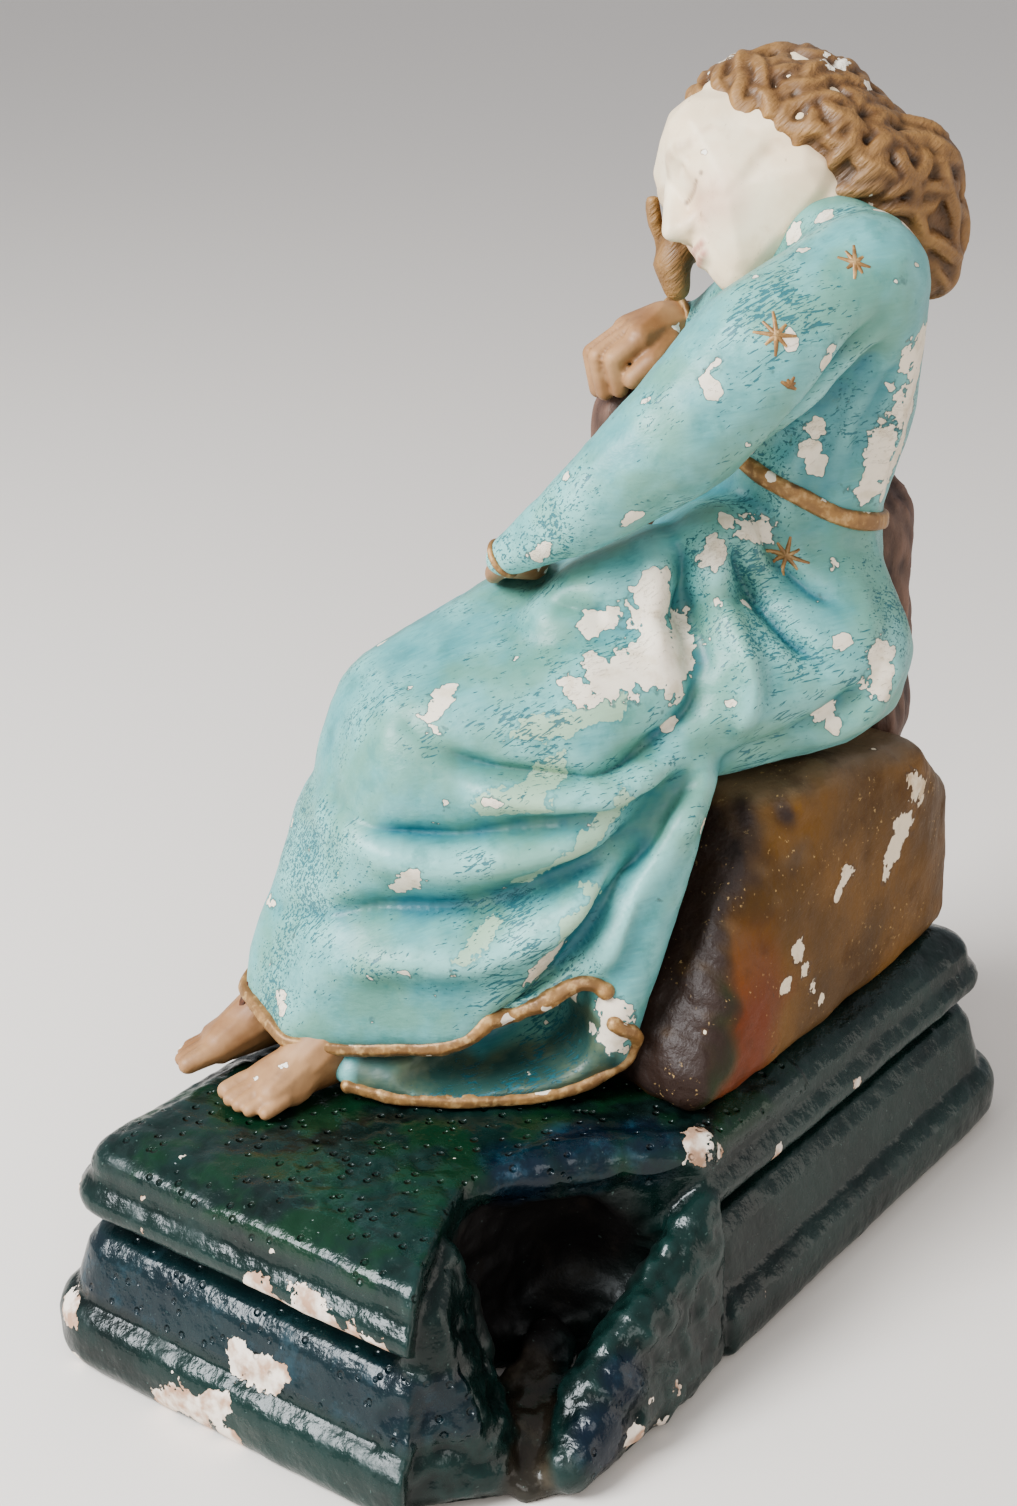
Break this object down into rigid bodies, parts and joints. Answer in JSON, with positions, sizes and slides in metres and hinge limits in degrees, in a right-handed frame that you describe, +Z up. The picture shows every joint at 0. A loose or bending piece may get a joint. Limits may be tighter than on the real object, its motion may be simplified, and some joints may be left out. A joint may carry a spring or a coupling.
{
  "type": "painted plaster statue",
  "caption": "Sleeping robed figure seated sideways on a rock, leaning on a stump, on a hollow moulded rectangular plinth with a small cave at one corner",
  "frame": {"origin": "middle of the plinth underside, where the statue stands", "axes": "+Z up; +X along the long side of the plinth, away from the feet; -Y is the long side with the cave; the figure faces forward and to the +Y side, between -X and +Y"},
  "size_m": [0.382, 0.218, 0.452],
  "materials": {
    "green_plaster": "bottle-green oil paint over plaster, glossy, bumpy, chipped to white along the mouldings",
    "moss_plaster": "near-black green paint over pitted, stippled plaster",
    "cave_plaster": "black-brown paint over rough plaster",
    "ochre_rock": "ochre, gold-brown, rust and moss paint over lumpy plaster, with white chips",
    "brown_rock": "dark brown paint over lumpy plaster",
    "turquoise": "brushed turquoise paint over cream gesso, crazed, worn through to cream and to an older sage green",
    "gilt": "tarnished bronze-gold paint over plaster",
    "flesh": "ivory to tan flesh paint over plaster, rubbed",
    "hair": "golden-brown painted curls, darker in the hollows, chipped to white on the crests",
    "iron": "bare annealed wire, slightly rusted",
    "lath_wood": "sawn softwood",
    "scrim_plaster": "hemp scrim soaked in plaster"
  },
  "bodies": {
    "root": {"plinth_shell": "green_plaster", "grotto_left_pier": "green_plaster", "grotto_right_pier": "green_plaster", "grotto_back": "cave_plaster", "grotto_ramp": "cave_plaster", "grotto_lip": "moss_plaster", "moss_ground": "moss_plaster", "rock_seat": "ochre_rock", "rock_stump": "brown_rock", "front_lath": "lath_wood", "rear_lath": "lath_wood", "front_lath_near_wad": "scrim_plaster", "front_lath_far_wad": "scrim_plaster", "rear_lath_near_wad": "scrim_plaster", "rear_lath_far_wad": "scrim_plaster", "armature_rod": "iron", "left_arm_wire": "iron", "right_arm_wire": "iron", "left_wrist_pin": "iron", "right_wrist_pin": "iron", "left_ankle_pin": "iron", "right_ankle_pin": "iron", "neck_dowel": "lath_wood", "right_foot": "flesh", "left_foot": "flesh", "left_hand": "flesh", "right_hand": "flesh", "head": "flesh", "neck": "flesh", "hair_cap": "hair", "side_curls": "hair", "left_cuff": "gilt", "right_cuff": "gilt", "upper_hem": "gilt", "lower_hem": "gilt", "belt": "gilt", "left_sleeve": "turquoise", "right_sleeve": "turquoise", "gown_bodice": "turquoise", "gown_skirt": "turquoise", "gown_train": "turquoise"}
  },
  "joints": []
}
